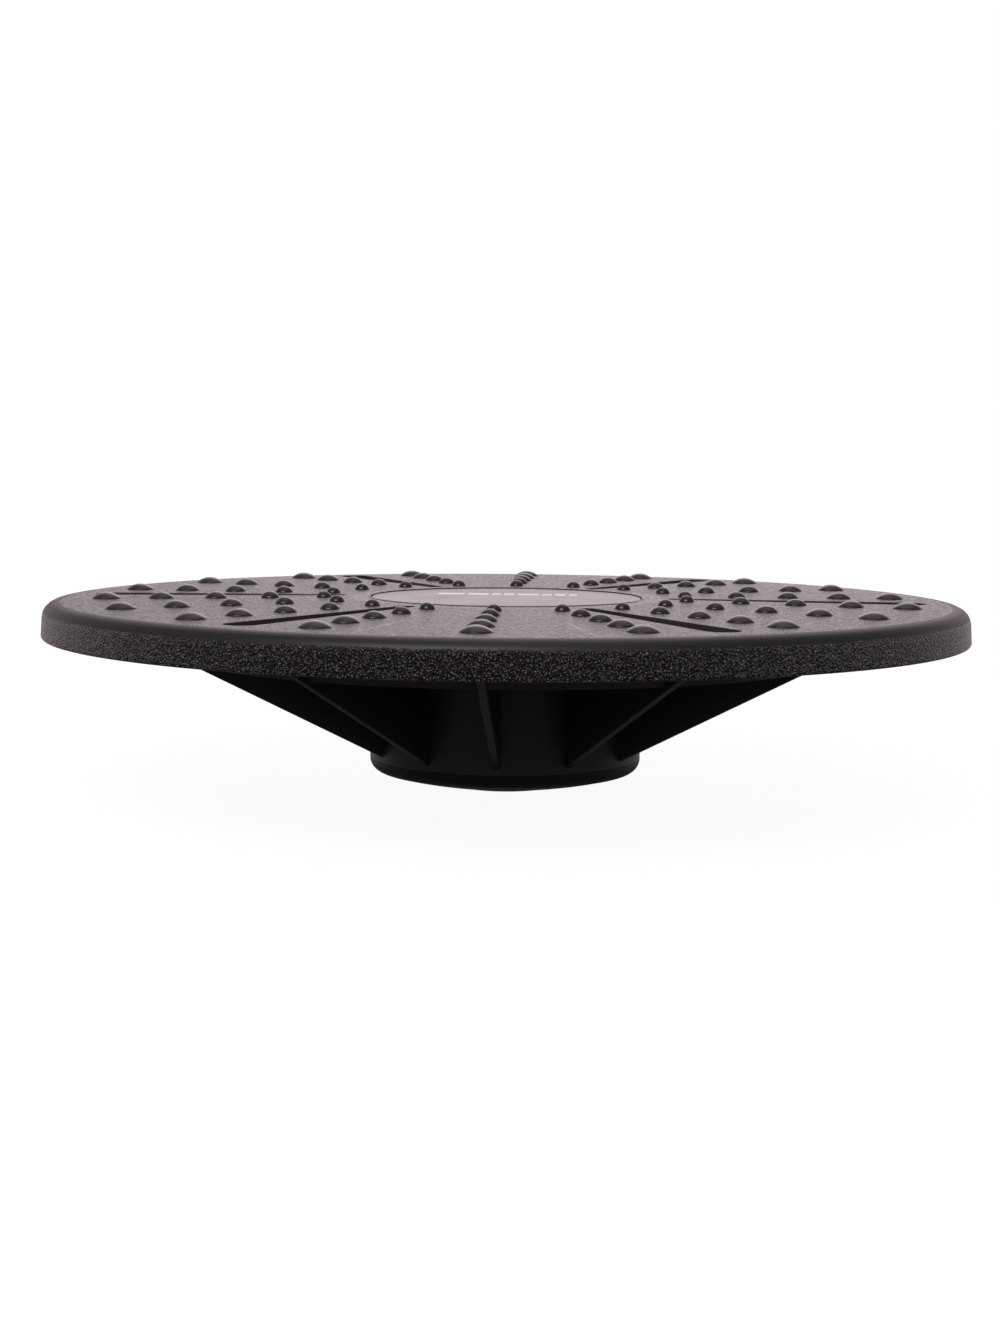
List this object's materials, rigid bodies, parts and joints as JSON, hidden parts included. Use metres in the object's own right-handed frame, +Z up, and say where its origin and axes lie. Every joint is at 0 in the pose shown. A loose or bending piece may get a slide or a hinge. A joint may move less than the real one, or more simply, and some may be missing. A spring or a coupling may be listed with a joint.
{
  "type": "wobble board",
  "caption": "Round balance board with a knobbed non-slip deck on a ribbed hub that tips about a shallow domed foot.",
  "frame": {"origin": "on the floor at the centre of the grip pad's flat, under the middle of the deck", "axes": "+Z up along the board's axis of symmetry; -Y points along one row of knobs"},
  "size_m": [0.4023, 0.4024, 0.087],
  "materials": {
    "deck_plastic": "grained moulded plastic",
    "knob_rubber": "soft satin",
    "cap_plastic": "smooth satin",
    "label_print": "smooth printed film",
    "frame_plastic": "satin moulded plastic",
    "rocker_plastic": "satin moulded plastic",
    "pad_rubber": "matte",
    "screw_steel": "zinc plated"
  },
  "bodies": {
    "root": {"deck": "deck_plastic", "knobs_size_1": "knob_rubber", "knobs_size_2": "knob_rubber", "knobs_size_3": "knob_rubber", "knobs_size_4": "knob_rubber", "knobs_size_5": "knob_rubber", "centre_cap": "cap_plastic", "label": "label_print", "hub": "frame_plastic", "rib_01": "frame_plastic", "rib_02": "frame_plastic", "rib_03": "frame_plastic", "rib_04": "frame_plastic", "rib_05": "frame_plastic", "rib_06": "frame_plastic", "rib_07": "frame_plastic", "rib_08": "frame_plastic", "rib_09": "frame_plastic", "rib_10": "frame_plastic", "rib_11": "frame_plastic", "rib_12": "frame_plastic", "ring_wall": "frame_plastic", "rocker": "rocker_plastic", "grip_pad": "pad_rubber", "hub_screws": "screw_steel", "rocker_screws": "screw_steel"}
  },
  "joints": []
}
